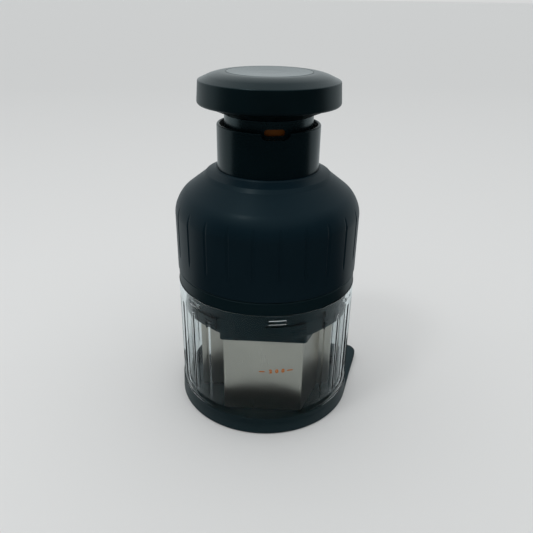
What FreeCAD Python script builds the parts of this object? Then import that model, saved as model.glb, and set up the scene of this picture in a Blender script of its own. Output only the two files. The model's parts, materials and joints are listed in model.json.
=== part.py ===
import FreeCAD, Part
import Sketcher
import math
import os
import re

# A hand-pumped food chopper. The axis of the plunger is Z, the floor is z = 0 and the front,
# with the fill mark and the lock window, faces -Y. The plunger is drawn pressed down and
# locked: the blades stand just above the floor of the tray, and the stroke is upwards.

SIZES = {
    # How far a cut starts outside what it cuts
    "over_cut": 1.0,
    # Base tray, with its pad and its pull tab
    "pad_inset": 3.9,
    "pad_thickness": 1.6,
    "pad_standout": 0.6,
    "tray_draft": 0.4,
    "tray_rim_standout": 0.5,
    "tray_wall": 1.7,
    "tray_floor": 2.6,
    "tray_height": 7.4,
    "tray_edge_round": 0.6,
    "tab_angle": 19.2,
    "tab_standout": 14.7,
    "tab_corner_radius": 6.8,
    "tab_thickness": 2.4,
    # Clear cup
    "cup_radius": 45.0,
    "cup_wall": 2.8,
    "cup_height": 60.0,
    "cup_foot_gap": 0.1,
    "cup_foot_clearance": 0.3,
    "cup_seam_gap": 0.4,
    "cup_edge_round": 0.5,
    "seal_height": 1.4,
    "seal_depth": 0.7,
    "seal_lift": 1.4,
    "seal_clearance": 0.05,
    "panel_count": 24,
    "window_panels": 4,
    "rib_width": 1.35,
    "panel_depth": 0.65,
    "panel_foot": 4.6,
    "panel_head": 8.6,
    "lug_count": 6,
    "lug_width": 8.0,
    "lug_height": 2.8,
    "lug_reach": 1.1,
    "lug_drop": 4.2,
    # Housing: skirt, band, barrel and dome
    "skirt_clearance": 0.4,
    "skirt_wall": 3.2,
    "skirt_depth": 13.4,
    "slot_play": 0.5,
    "slot_turn": 26.0,
    "slot_margin": 2.0,
    "entry_play": 1.0,
    "band_inset": 0.3,
    "band_height": 6.5,
    "band_chamfer": 0.7,
    "band_gap": 0.1,
    "gasket_width": 1.8,
    "gasket_thickness": 0.8,
    "grip_thickness": 2.0,
    "grip_edge_round": 0.6,
    "shell_wall": 2.0,
    "dome_slope": 36.0,
    "shelf_width": 2.5,
    "shelf_slope": 14.0,
    "shoulder_round": 14.0,
    "groove_count": 24,
    "groove_width": 1.1,
    "groove_depth": 0.8,
    "groove_foot": 9.5,
    "boss_count": 4,
    "boss_width": 7.0,
    "boss_height": 10.0,
    "boss_reach": 3.2,
    "boss_cover": 5.7,
    # Neck
    "collar_wall": 2.2,
    "collar_top_round": 1.4,
    "collar_step": 0.8,
    "collar_joint_clearance": 0.05,
    "seat_width": 2.2,
    "lip_height": 2.9,
    "lip_clearance": 0.35,
    "notch_width": 12.8,
    "nut_width": 4.0,
    "nut_height": 2.3,
    "bush_height": 3.8,
    # Guide plate with lock ring and nut tower
    "lift_gap": 1.0,
    "plate_thickness": 3.0,
    "plate_clearance": 0.2,
    "screw_inset": 3.6,
    "screw_radius": 1.5,
    "screw_head_radius": 2.8,
    "screw_head_height": 1.4,
    "screw_length": 9.0,
    "screw_play": 0.05,
    "tower_wall": 2.2,
    "tower_height": 9.5,
    "cam_nut_wall": 3.4,
    "cam_nut_flange": 1.4,
    "cam_nut_flange_height": 1.4,
    "pin_radius": 1.2,
    "pin_height": 4.0,
    "pin_tip_gap": 0.2,
    "ring_gap": 0.9,
    "ring_wall": 1.4,
    "ring_height": 8.0,
    "hook_count": 3,
    "hook_width": 5.0,
    "hook_reach": 1.2,
    "hook_height": 2.6,
    "hook_clearance": 0.3,
    "bumper_height": 1.6,
    "bumper_width": 3.4,
    "bumper_inset": 0.6,
    "bumper_gap": 0.3,
    # Plunger stem
    "stroke": 37.0,
    "stop_gap": 0.3,
    "stem_wall": 1.6,
    "stem_flange": 1.3,
    "stem_clearance": 0.08,
    "stem_end_gap": 0.2,
    "foot_height": 2.2,
    "window_width": 9.2,
    "window_height": 2.9,
    "window_drop": 4.8,
    "key_width": 3.0,
    "key_depth": 0.7,
    "key_clearance": 0.1,
    # Lock sleeve and flag
    "sleeve_wall": 1.7,
    "sleeve_clearance": 0.1,
    "web_thickness": 3.0,
    "clip_inset": 0.6,
    "clip_thickness": 1.1,
    "clip_reach": 2.1,
    "clip_bite": 0.6,
    "clip_gap": 0.1,
    "tab_width": 4.6,
    "tab_height": 2.4,
    "flag_width": 10.4,
    "flag_height": 4.5,
    "flag_depth": 0.9,
    # Knob
    "knob_gap": 4.6,
    "knob_cone_height": 4.1,
    "knob_radius": 32.9,
    "knob_side_height": 10.9,
    "knob_side_draft": 0.8,
    "knob_crown_height": 3.2,
    "crown_land": 3.2,
    "knob_wall": 2.0,
    "knob_edge_round": 2.2,
    "knob_foot_round": 1.3,
    "knob_joint_clearance": 0.1,
    "knob_base_thickness": 2.4,
    "knob_spigot": 2.4,
    "hub_height": 3.6,
    "washer_clearance": 0.6,
    "post_margin": 2.0,
    "post_wall": 2.0,
    "post_flange": 2.0,
    "cap_ledge": 3.2,
    "cap_thickness": 1.8,
    "cap_dish": 0.8,
    "cap_rim": 1.0,
    "cap_bowl_inset": 7.2,
    "cap_clearance": 0.1,
    "cap_skirt": 3.0,
    "cap_skirt_wall": 1.2,
    "knob_screw_count": 3,
    "knob_screw_margin": 0.2,
    "knob_screw_radius": 1.2,
    "knob_screw_head_radius": 2.1,
    "knob_screw_head_height": 1.5,
    "knob_screw_bite": 2.6,
    # Return spring
    "wire_radius": 0.8,
    "spring_gap": 0.82,
    "coil_turns": 8.5,
    "spring_washer_thickness": 0.9,
    "spring_washer_width": 3.6,
    # Drive shaft
    "shaft_radius": 5.0,
    "shaft_clearance": 0.08,
    "journal_step": 1.0,
    "journal_end_gap": 0.3,
    "cam_turn": 30.0,
    "cam_width": 2.8,
    "cam_depth": 1.5,
    "cam_run_out": 2.5,
    "washer_radius": 8.0,
    "washer_thickness": 1.1,
    "washer_gap": 0.1,
    "shaft_screw_radius": 2.0,
    "shaft_screw_head_radius": 3.9,
    "shaft_screw_head_height": 2.2,
    "shaft_screw_length": 10.0,
    # Blade carrier and blades
    "skirt_gap": 0.5,
    "carrier_thickness": 3.6,
    "carrier_clearance": 0.8,
    "hub_wall": 4.0,
    "hub_drop": 6.9,
    "hub_floor": 2.0,
    "holder_height": 4.2,
    "holder_wall": 1.6,
    "blade_thickness": 0.9,
    "blade_fit": 0.05,
    "blade_tang": 2.0,
    "tip_gap": 0.8,
    "blade_turn": -10.5,
    "panel_inset": 12.6,
    "panel_left": 18.4,
    "panel_right": 19.7,
    "left_flange_distance": 10.4,
    "left_flange_length": 11.6,
    "left_flange_inset": 9.2,
    "right_flange_distance": 6.5,
    "right_flange_length": 6.1,
    "right_flange_inset": 7.2,
    "rivet_radius": 1.1,
    "rivet_head_radius": 1.9,
    "rivet_head_height": 0.5,
    "rivet_spread": 12.0,
    "carrier_screw_radius": 2.0,
    "carrier_screw_head_radius": 4.2,
    "carrier_screw_head_height": 1.5,
    "carrier_screw_length": 12.0,
}

# Heights and radii that follow from the sizes, from the floor upwards
LEVELS = {
    "tray_rim_radius": "cup_radius + tray_rim_standout",
    "tray_radius": "tray_rim_radius + tray_draft",
    "pad_radius": "tray_radius - pad_inset",
    "tab_reach": "tray_radius + tab_standout",
    "tray_under": "pad_standout",
    "tray_floor_top": "tray_under + tray_floor",
    "tray_top": "tray_under + tray_height",
    "tray_bore": "tray_rim_radius - tray_wall",
    "cup_foot": "tray_floor_top + cup_foot_gap",
    "cup_shoulder": "tray_top + cup_seam_gap",
    "cup_top": "cup_shoulder + cup_height",
    "cup_bore": "cup_radius - cup_wall",
    "panel_width": "2 * cup_radius * sin(180 / panel_count) - rib_width",
    "foot_radius": "tray_bore - cup_foot_clearance",
    "seal_foot": "cup_foot + seal_lift",
    "lug_top": "cup_top - lug_drop",
    "skirt_foot": "cup_top - skirt_depth",
    "skirt_radius": "cup_bore - skirt_clearance",
    "skirt_bore": "skirt_radius - skirt_wall",
    "band_foot": "cup_top + band_gap",
    "band_top": "band_foot + band_height",
    "grip_radius": "cup_radius",
    "band_radius": "grip_radius - band_inset",
    "shell_radius": "grip_radius - grip_thickness",
    "shell_bore": "shell_radius - shell_wall",
    "carrier_top": "skirt_foot - skirt_gap",
    "carrier_foot": "carrier_top - carrier_thickness",
    "carrier_radius": "skirt_bore - carrier_clearance",
    "holder_foot": "carrier_foot - holder_height",
    "hub_foot": "carrier_foot - hub_drop",
    "blade_tip": "tray_floor_top + tip_gap",
    "blade_top": "carrier_foot + blade_tang",
    "plate_foot": "carrier_top + stroke + lift_gap",
    "plate_top": "plate_foot + plate_thickness",
    "plate_radius": "skirt_bore - plate_clearance",
    "screw_circle": "skirt_bore - screw_inset",
    "boss_inner_radius": "screw_circle - boss_reach",
    "shaft_bore": "shaft_radius + shaft_clearance",
    "cam_nut_radius": "shaft_bore + cam_nut_wall",
    "tower_radius": "cam_nut_radius + tower_wall",
    "coil_radius": "tower_radius + spring_gap + wire_radius",
    "ring_radius": "coil_radius + wire_radius + ring_gap + ring_wall",
    "sleeve_bore": "ring_radius + hook_reach + 2 * hook_clearance",
    "sleeve_radius": "sleeve_bore + sleeve_wall",
    "stem_bore": "sleeve_radius + sleeve_clearance",
    "stem_radius": "stem_bore + stem_wall",
    "bumper_bore": "stem_radius - bumper_width / 2",
    "pin_level": "plate_top + pin_height",
    "bumper_top": "plate_top + bumper_height",
    "sleeve_foot": "bumper_top + bumper_gap",
    "clip_foot": "sleeve_foot + clip_inset",
    "stem_foot": "clip_foot + clip_thickness + clip_gap",
    "stem_foot_top": "stem_foot + foot_height",
    "bush_foot": "stem_foot_top + stroke + stop_gap",
    "bush_top": "bush_foot + bush_height",
    "collar_top": "bush_top + lip_height",
    "collar_bore": "stem_radius + stem_flange",
    "collar_radius": "collar_bore + collar_wall",
    "spigot_radius": "collar_radius - collar_step",
    "seat_bore": "spigot_radius + collar_joint_clearance",
    "shelf_radius": "collar_radius + shelf_width",
    "hub_seat": "collar_top + knob_gap",
    "web_foot": "hub_seat - web_thickness",
    "stem_top": "hub_seat - stem_end_gap",
    "window_level": "stem_top - window_drop",
    "spring_top": "web_foot - spring_washer_thickness",
    "shoulder_level": "plate_top + boss_height + boss_cover",
    "seat_radius": "seat_bore + seat_width",
    "seat_level": "shoulder_level + (grip_radius - seat_radius) * tan(dome_slope)"
                  " - grip_thickness / cos(dome_slope)",
    "seat_under": "shoulder_level + (grip_radius - seat_radius - nut_width) * tan(dome_slope)"
                  " - (grip_thickness + shell_wall) / cos(dome_slope)",
    "spigot_foot": "seat_under - nut_height",
    "knob_rim_foot": "hub_seat + knob_cone_height",
    "knob_rim_top": "knob_rim_foot + knob_side_height",
    "knob_top": "knob_rim_top + knob_crown_height",
    "hub_top": "hub_seat + hub_height",
    "knob_inner_radius": "knob_radius - knob_wall",
    "hub_bore_radius": "washer_radius + washer_clearance",
    "knob_screw_circle": "hub_bore_radius + knob_screw_head_radius + knob_screw_margin",
    "post_radius": "knob_screw_circle + knob_screw_head_radius + post_margin",
    "cap_radius": "post_radius + cap_ledge",
    "cap_bowl_radius": "cap_radius - cap_bowl_inset",
    "knob_crown_radius": "cap_radius + cap_clearance + crown_land",
    "cap_seat": "knob_top - cap_thickness",
    "journal_radius": "shaft_radius - journal_step",
    "washer_top": "hub_seat + journal_end_gap + washer_thickness",
    "shaft_shoulder": "web_foot - washer_gap - washer_thickness",
    "shaft_foot": "hub_foot + carrier_screw_head_height + hub_floor",
    "hub_radius": "shaft_radius + hub_wall",
    "rivet_level": "holder_foot + holder_height / 2",
    "panel_distance": "cup_bore - panel_inset",
    "left_flange_end": "cup_bore - left_flange_inset",
    "left_flange_start": "left_flange_end - left_flange_length",
    "right_flange_end": "cup_bore - right_flange_inset",
    "right_flange_start": "right_flange_end - right_flange_length",
}

doc = FreeCAD.newDocument("FoodChopper")
nodes = []


def filled_sheet(name, cells):
    """A spreadsheet with one aliased cell for each entry."""
    sheet = doc.addObject("Spreadsheet::Sheet", name)
    for row, (alias, content) in enumerate(cells.items(), 1):
        sheet.set(f"A{row}", alias)
        sheet.set(f"B{row}", content)
        sheet.setAlias(f"B{row}", alias)
    doc.recompute()
    return sheet


def bound(formula):
    """A formula with the name of its sheet put in front of every alias."""
    def with_sheet(match):
        word = match.group()
        if word in SIZES:
            return "Dims." + word
        return "Levels." + word if word in LEVELS else word
    return re.sub(r"[a-z_]+", with_sheet, str(formula))


dims = filled_sheet("Dims", {alias: str(number) for alias, number in SIZES.items()})
levels = filled_sheet("Levels", {alias: "=" + bound(formula) for alias, formula in LEVELS.items()})


def worth(formula):
    """The number that a formula stands for now."""
    return float(levels.evalExpression(bound(formula)))


def bind(thing, **formulas):
    """Tie properties of an object to the sheets."""
    for name, formula in formulas.items():
        thing.setExpression(name, bound(formula))


def place(thing, x="0", y="0", z="0"):
    """Tie an object's position to the sheets."""
    for axis, formula in (("x", x), ("y", y), ("z", z)):
        thing.setExpression(f"Placement.Base.{axis}", bound(formula))


def turned(thing, axis, formula):
    """Tie an object's rotation about one of the main axes to the sheets."""
    thing.Placement.Rotation = FreeCAD.Rotation(axis, 1.0)
    thing.setExpression("Placement.Rotation.Angle", bound(formula))


def finished(thing, name):
    """Name a sub-part, which is also the name of its file."""
    thing.Label = name
    nodes.append(thing)
    return thing


X_AXIS = FreeCAD.Vector(1, 0, 0)
Y_AXIS = FreeCAD.Vector(0, 1, 0)
Z_AXIS = FreeCAD.Vector(0, 0, 1)


# ---- Sketches and features -------------------------------------------------------------

def origin_feature(body, role):
    return next(item for item in body.Origin.OriginFeatures if item.Role == role)


def fix_point(sketch, geometry, point, x, y):
    """Hold one end of a line at two formulas, or on an axis where a formula is 0."""
    for kind, formula, axis in (("DistanceX", x, -2), ("DistanceY", y, -1)):
        if str(formula) == "0":
            sketch.addConstraint(Sketcher.Constraint("PointOnObject", geometry, point, axis))
            continue
        rule = Sketcher.Constraint(kind, -1, 1, geometry, point, worth(formula))
        number = sketch.addConstraint(rule)
        sketch.setExpression(f"Constraints[{number}]", bound(formula))


def draw_path(sketch, corners, closed=True):
    """Straight lines through corners given as pairs of formulas."""
    points = [FreeCAD.Vector(worth(x), worth(y), 0) for x, y in corners]
    ends = points[1:] + points[:1] if closed else points[1:]
    first = sketch.GeometryCount
    for start, end in zip(points, ends):
        sketch.addGeometry(Part.LineSegment(start, end))
    count = len(ends)
    for step in range(count if closed else count - 1):
        following = first + (step + 1) % count
        sketch.addConstraint(Sketcher.Constraint("Coincident", first + step, 2, following, 1))
    for step, (x, y) in enumerate(corners[:count]):
        fix_point(sketch, first + step, 1, x, y)
    if not closed:
        fix_point(sketch, first + count - 1, 2, *corners[-1])


def draw_circle(sketch, x, y, radius):
    centre = FreeCAD.Vector(worth(x), worth(y), 0)
    number = sketch.addGeometry(Part.Circle(centre, Z_AXIS, worth(radius)))
    fix_point(sketch, number, 3, x, y)
    rule = sketch.addConstraint(Sketcher.Constraint("Radius", number, worth(radius)))
    sketch.setExpression(f"Constraints[{rule}]", bound(radius))


def new_sketch(body, role, height="0", turn="0"):
    """A sketch on an origin plane, raised off it or turned about the body's upright axis."""
    sketch = body.newObject("Sketcher::SketchObject", "Sketch")
    sketch.AttachmentSupport = (origin_feature(body, role), [""])
    sketch.MapMode = "FlatFace"
    flat = role == "XY_Plane"
    sketch.AttachmentOffset = FreeCAD.Placement(FreeCAD.Vector(), Z_AXIS if flat else Y_AXIS, 1.0)
    sketch.setExpression("AttachmentOffset.Rotation.Angle", bound(turn))
    if flat:
        sketch.setExpression("AttachmentOffset.Base.z", bound(height))
    return sketch


def new_body(name):
    return finished(doc.addObject("PartDesign::Body", "Body"), name)


def spin(body, corners, kind="Revolution", angle="360", turn="0"):
    """Turn a profile of (radius, height) corners round the axis, from +X on, to add or to cut."""
    sketch = new_sketch(body, "XZ_Plane", turn=turn)
    draw_path(sketch, corners)
    feature = body.newObject("PartDesign::" + kind, kind)
    feature.Profile = sketch
    feature.ReferenceAxis = (sketch, ["V_Axis"])
    bind(feature, Angle=angle)
    doc.recompute()
    return feature


def extrude(body, kind, height, length, draw, turn="0"):
    """Pad or pocket upwards from a level, with an outline drawn by the caller."""
    sketch = new_sketch(body, "XY_Plane", height, turn)
    draw(sketch)
    feature = body.newObject("PartDesign::" + kind, kind)
    feature.Profile = sketch
    feature.Reversed = kind == "Pocket"
    bind(feature, Length=length)
    doc.recompute()
    return feature


def block(x_from, x_to, y_from, y_to):
    """The drawing of a rectangle, for extrude."""
    corners = [(x_from, y_from), (x_to, y_from), (x_to, y_to), (x_from, y_to)]
    return lambda sketch: draw_path(sketch, corners)


def front_block(width, outer, inner):
    """A rectangle across the front, from one distance off the axis to a smaller one."""
    return block(f"-({width}) / 2", f"({width}) / 2", f"-({outer})", f"-({inner})")


def repeated(body, feature, count, angle="360"):
    """Repeat a feature round the body's upright axis."""
    pattern = body.newObject("PartDesign::PolarPattern", "Pattern")
    pattern.Originals = [feature]
    pattern.Axis = (origin_feature(body, "Z_Axis"), [""])
    bind(pattern, Angle=angle, Occurrences=count)
    body.Tip = pattern
    doc.recompute()


def soften(body, size, corners, kind="Fillet"):
    """Round or chamfer the full circles that pass through the given (radius, height) corners."""
    wanted = [(worth(radius), worth(height)) for radius, height in corners]
    base = body.Tip
    names = []
    for number, edge in enumerate(base.Shape.Edges, 1):
        curve = edge.Curve
        if isinstance(curve, Part.Circle):
            if any(abs(curve.Radius - r) + abs(curve.Center.z - z) < 0.001 for r, z in wanted):
                names.append(f"Edge{number}")
    feature = body.newObject("PartDesign::" + kind, kind)
    feature.Base = (base, names)
    bind(feature, **{"Radius" if kind == "Fillet" else "Size": size})
    doc.recompute()


def ring(name, inner, outer, foot, top):
    """A body turned from a plain rectangle."""
    body = new_body(name)
    spin(body, [(inner, foot), (outer, foot), (outer, top), (inner, top)])
    return body


# ---- Primitives and groups -------------------------------------------------------------

def cylinder(radius, height, x="0", y="0", z="0"):
    rod = doc.addObject("Part::Cylinder", "Cylinder")
    bind(rod, Radius=radius, Height=height)
    place(rod, x, y, z)
    return rod


def fused(*pieces):
    joined = doc.addObject("Part::MultiFuse", "Fusion")
    joined.Shapes = list(pieces)
    return joined


def cut(base, tool):
    trimmed = doc.addObject("Part::Cut", "Cut")
    trimmed.Base = base
    trimmed.Tool = tool
    return trimmed


def grouped(name, pieces):
    """Separate solids that share one node."""
    group = doc.addObject("Part::Compound", "Group")
    group.Links = list(pieces)
    return finished(group, name)


def round_the_axis(count, first, radius):
    """Positions on a circle, as pairs of formulas."""
    for step in range(round(worth(count))):
        angle = f"({first} + {step} * 360 / {count})"
        yield f"{radius} * cos{angle}", f"{radius} * sin{angle}"


# ---- Base ------------------------------------------------------------------------------

def base_pad():
    body = new_body("base_pad")
    corners = [("0", "0"), ("pad_radius", "0"), ("pad_radius", "pad_thickness"), ("0", "pad_thickness")]
    spin(body, corners)


def draw_tab(sketch):
    """A teardrop: two lines from the tray's edge, each tangent to a round corner."""
    reach = "tab_reach - tab_corner_radius"
    lean = f"acos((tray_radius - tab_corner_radius) / ({reach}))"
    lower = FreeCAD.Vector(worth(f"tray_radius * cos({lean})"), worth(f"-tray_radius * sin({lean})"), 0)
    upper = FreeCAD.Vector(lower.x, -lower.y, 0)
    centre = FreeCAD.Vector(worth(reach), 0, 0)
    radius = worth("tab_corner_radius")
    half = FreeCAD.Vector(lower).getAngle(X_AXIS)
    corner = Part.ArcOfCircle(Part.Circle(centre, Z_AXIS, radius), -half, half)
    sketch.addGeometry(Part.LineSegment(lower, corner.StartPoint))
    sketch.addGeometry(corner)
    sketch.addGeometry(Part.LineSegment(corner.EndPoint, upper))
    sketch.addGeometry(Part.LineSegment(upper, lower))
    sketch.addConstraint(Sketcher.Constraint("Tangent", 0, 2, 1, 1))
    sketch.addConstraint(Sketcher.Constraint("Tangent", 1, 2, 2, 1))
    sketch.addConstraint(Sketcher.Constraint("Coincident", 2, 2, 3, 1))
    sketch.addConstraint(Sketcher.Constraint("Coincident", 3, 2, 0, 1))
    fix_point(sketch, 1, 3, reach, "0")
    fix_point(sketch, 0, 1, f"tray_radius * cos({lean})", f"-tray_radius * sin({lean})")
    fix_point(sketch, 3, 1, f"tray_radius * cos({lean})", f"tray_radius * sin({lean})")
    rule = sketch.addConstraint(Sketcher.Constraint("Radius", 1, radius))
    sketch.setExpression(f"Constraints[{rule}]", bound("tab_corner_radius"))


def base_tray():
    """Shallow tray with a recess for the pad and a flat teardrop tab at the right."""
    body = new_body("base_tray")
    spin(body, [
        ("0", "tray_under"),
        ("tray_radius", "tray_under"),
        ("tray_rim_radius", "tray_top"),
        ("tray_bore", "tray_top"),
        ("tray_bore", "tray_floor_top"),
        ("0", "tray_floor_top"),
    ])
    soften(body, "tray_edge_round", [("tray_rim_radius", "tray_top")])
    extrude(body, "Pad", "tray_under", "tab_thickness", draw_tab, turn="tab_angle")
    recess = [("0", "0"), ("pad_radius", "0"), ("pad_radius", "pad_thickness"), ("0", "pad_thickness")]
    spin(body, recess, "Groove")


def cup():
    """Clear cup, open at both ends: a foot in the tray, flat panels outside and lugs inside."""
    body = new_body("cup")
    spin(body, [
        ("cup_bore", "cup_foot"),
        ("foot_radius", "cup_foot"),
        ("foot_radius", "seal_foot"),
        ("foot_radius - seal_depth", "seal_foot"),
        ("foot_radius - seal_depth", "seal_foot + seal_height"),
        ("foot_radius", "seal_foot + seal_height"),
        ("foot_radius", "cup_shoulder"),
        ("cup_radius", "cup_shoulder"),
        ("cup_radius", "cup_top"),
        ("cup_bore", "cup_top"),
    ])
    soften(body, "cup_edge_round", [("cup_radius", "cup_shoulder"), ("cup_radius", "cup_top")])
    panel = extrude(
        body, "Pocket", "cup_shoulder + panel_foot", "cup_height - panel_foot - panel_head",
        front_block("panel_width", "cup_radius + over_cut", "cup_radius - panel_depth"),
        turn="(window_panels + 1) * 180 / panel_count",
    )
    repeated(body, panel, "panel_count - window_panels",
             "360 * (panel_count - window_panels - 1) / panel_count")
    lug = extrude(
        body, "Pad", "lug_top - lug_height", "lug_height",
        front_block("lug_width", "cup_bore + cup_wall / 2", "cup_bore - lug_reach"),
    )
    repeated(body, lug, "lug_count")


def cup_seal():
    ring("cup_seal", "foot_radius - seal_depth", "tray_bore - seal_clearance",
         "seal_foot", "seal_foot + seal_height")


# ---- Housing ---------------------------------------------------------------------------

def dome_level(radius, depth):
    """The level of the dome's slope at a radius, some depth below the grip's surface."""
    return f"shoulder_level + (grip_radius - ({radius})) * tan(dome_slope) - ({depth}) / cos(dome_slope)"


def corner_level(depth):
    """Where the dome's slope and the upright wall meet, some depth below the grip's surface."""
    return f"shoulder_level - ({depth}) * tan((90 - dome_slope) / 2)"


def housing_shell():
    """Hard shell: skirt inside the cup, band on its rim, barrel, dome and bosses."""
    body = new_body("housing_shell")
    skin = "grip_thickness"
    inside = "(grip_thickness + shell_wall)"
    inner_seat = "seat_radius + nut_width"
    spin(body, [
        ("skirt_bore", "skirt_foot"),
        ("skirt_radius", "skirt_foot"),
        ("skirt_radius", "band_foot"),
        ("cup_bore", "band_foot"),
        ("cup_bore", "band_foot + gasket_thickness"),
        ("cup_bore + gasket_width", "band_foot + gasket_thickness"),
        ("cup_bore + gasket_width", "band_foot"),
        ("band_radius", "band_foot"),
        ("band_radius", "band_top"),
        ("shell_radius", "band_top"),
        ("shell_radius", corner_level(skin)),
        ("seat_radius", "seat_level"),
        ("seat_bore", "seat_level"),
        ("seat_bore", "seat_under"),
        (inner_seat, "seat_under"),
        ("shell_bore", corner_level(inside)),
        ("shell_bore", "band_top + skirt_wall"),
        ("skirt_bore", "band_top"),
    ])
    soften(body, f"shoulder_round - {skin}", [("shell_radius", corner_level(skin))])
    soften(body, f"shoulder_round - {inside}", [("shell_bore", corner_level(inside))])
    soften(body, "band_chamfer", [("band_radius", "band_top")], "Chamfer")
    boss = extrude(
        body, "Pad", "plate_top", "boss_height",
        front_block("boss_width", "shell_bore + shell_wall / 2", "boss_inner_radius"),
        turn="180 / boss_count",
    )
    repeated(body, boss, "boss_count")

    def pilot(sketch):
        draw_circle(sketch, "0", "-screw_circle", "screw_radius + screw_play")

    hole = extrude(body, "Pocket", "plate_top", "screw_length", pilot, turn="180 / boss_count")
    repeated(body, hole, "boss_count")
    bayonet_slots(body)


def bayonet_slots(body):
    """L-shaped slots in the skirt for the cup's lugs: a run to turn in and an entry from below."""
    lug_angle = "2 * asin(lug_width / 2 / (cup_bore - lug_reach)) / 1 deg"
    floor = "cup_bore - lug_reach - slot_play"
    play = "slot_play"
    run = spin(
        body,
        [
            (floor, f"lug_top - lug_height - {play}"),
            ("cup_bore", f"lug_top - lug_height - {play}"),
            ("cup_bore", f"lug_top + {play}"),
            (floor, f"lug_top + {play}"),
        ],
        "Groove", f"slot_turn + {lug_angle} + 2 * slot_margin",
        f"-({lug_angle}) / 2 - slot_margin - 90",
    )
    repeated(body, run, "lug_count")
    entry = extrude(
        body, "Pocket", "skirt_foot", "lug_top - skirt_foot",
        front_block("lug_width + 2 * entry_play", "cup_bore", floor), turn="slot_turn",
    )
    repeated(body, entry, "lug_count")


def housing_gasket():
    ring("housing_gasket", "cup_bore", "cup_bore + gasket_width",
         "band_foot", "band_foot + gasket_thickness")


def housing_grip():
    """Soft skin over barrel and dome, with upright grooves that run out on the shoulder."""
    body = new_body("housing_grip")
    shelf_top = dome_level("shelf_radius", "0") + " + shelf_width * tan(shelf_slope)"
    spin(body, [
        ("shell_radius", "band_top"),
        ("grip_radius", "band_top"),
        ("grip_radius", "shoulder_level"),
        ("shelf_radius", dome_level("shelf_radius", "0")),
        ("collar_radius + collar_joint_clearance", shelf_top),
        ("collar_radius + collar_joint_clearance", "seat_level"),
        ("seat_radius", "seat_level"),
        ("shell_radius", corner_level("grip_thickness")),
    ])
    soften(body, "shoulder_round", [("grip_radius", "shoulder_level")])
    soften(body, "shoulder_round - grip_thickness",
           [("shell_radius", corner_level("grip_thickness"))])
    soften(body, "grip_edge_round", [("grip_radius", "band_top")])
    groove = extrude(
        body, "Pocket", "band_top + groove_foot", "shoulder_level - band_top - groove_foot",
        front_block("groove_width", "grip_radius + over_cut", "grip_radius - groove_depth"),
    )
    repeated(body, groove, "groove_count")


def neck_collar():
    """Glossy ring that guides the stem: spigot, bore for the bush, and a lip notched in front."""
    body = new_body("neck_collar")
    spin(body, [
        ("collar_bore", "spigot_foot"),
        ("spigot_radius", "spigot_foot"),
        ("spigot_radius", "seat_level"),
        ("collar_radius", "seat_level"),
        ("collar_radius", "collar_top"),
        ("stem_radius + lip_clearance", "collar_top"),
        ("stem_radius + lip_clearance", "bush_top"),
        ("collar_bore", "bush_top"),
    ])
    soften(body, "collar_top_round", [("collar_radius", "collar_top")])
    front_pill(body, "Pocket", "notch_width", "2 * lip_height", "collar_top",
               "stem_bore", "collar_radius + over_cut")


def collar_nut():
    ring("collar_nut", "seat_bore", "seat_bore + nut_width", "spigot_foot", "seat_under")


def guide_bush():
    """Plain bearing for the stem, with a key at the back that stops the stem turning."""
    body = ring("guide_bush", "stem_radius + stem_clearance", "collar_bore", "bush_foot", "bush_top")
    extrude(
        body, "Pad", "bush_foot", "bush_height",
        front_block("key_width", "collar_bore - stem_clearance",
                    "stem_radius - key_depth + key_clearance"),
        turn="180",
    )


def guide_plate():
    """Plate across the housing: spring seat, tower for the cam nut and ring with lock hooks."""
    body = new_body("guide_plate")
    spin(body, [
        ("cam_nut_radius + cam_nut_flange", "plate_foot"),
        ("plate_radius", "plate_foot"),
        ("plate_radius", "plate_top"),
        ("bumper_bore + bumper_width", "plate_top"),
        ("bumper_bore + bumper_width", "plate_top - bumper_inset"),
        ("bumper_bore", "plate_top - bumper_inset"),
        ("bumper_bore", "plate_top"),
        ("ring_radius", "plate_top"),
        ("ring_radius", "plate_top + ring_height"),
        ("ring_radius - ring_wall", "plate_top + ring_height"),
        ("ring_radius - ring_wall", "plate_top"),
        ("tower_radius", "plate_top"),
        ("tower_radius", "plate_top + tower_height"),
        ("cam_nut_radius", "plate_top + tower_height"),
        ("cam_nut_radius", "plate_foot + cam_nut_flange_height"),
        ("cam_nut_radius + cam_nut_flange", "plate_foot + cam_nut_flange_height"),
    ])
    hook = extrude(
        body, "Pad", "plate_top + ring_height - hook_height", "hook_height",
        front_block("hook_width", "ring_radius + hook_reach", "ring_radius - ring_wall / 2"),
    )
    repeated(body, hook, "hook_count")

    def through(sketch):
        draw_circle(sketch, "0", "-screw_circle", "screw_radius + screw_play")

    def sunk(sketch):
        draw_circle(sketch, "0", "-screw_circle", "screw_head_radius + screw_play")

    hole = extrude(body, "Pocket", "plate_foot", "plate_thickness", through, turn="180 / boss_count")
    repeated(body, hole, "boss_count")
    seat = extrude(body, "Pocket", "plate_foot", "screw_head_height", sunk, turn="180 / boss_count")
    repeated(body, seat, "boss_count")


def plate_screws():
    """Screws from below into the housing's bosses, heads sunk in the plate."""
    screws = []
    for x, y in round_the_axis("boss_count", "180 / boss_count - 90", "screw_circle"):
        head = cylinder("screw_head_radius", "screw_head_height", x, y, "plate_foot")
        shank_length = "plate_thickness + screw_length - screw_head_height - screw_play"
        shank = cylinder("screw_radius", shank_length, x, y, "plate_foot + screw_head_height")
        screws.append(fused(head, shank))
    grouped("plate_screws", screws)


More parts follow.
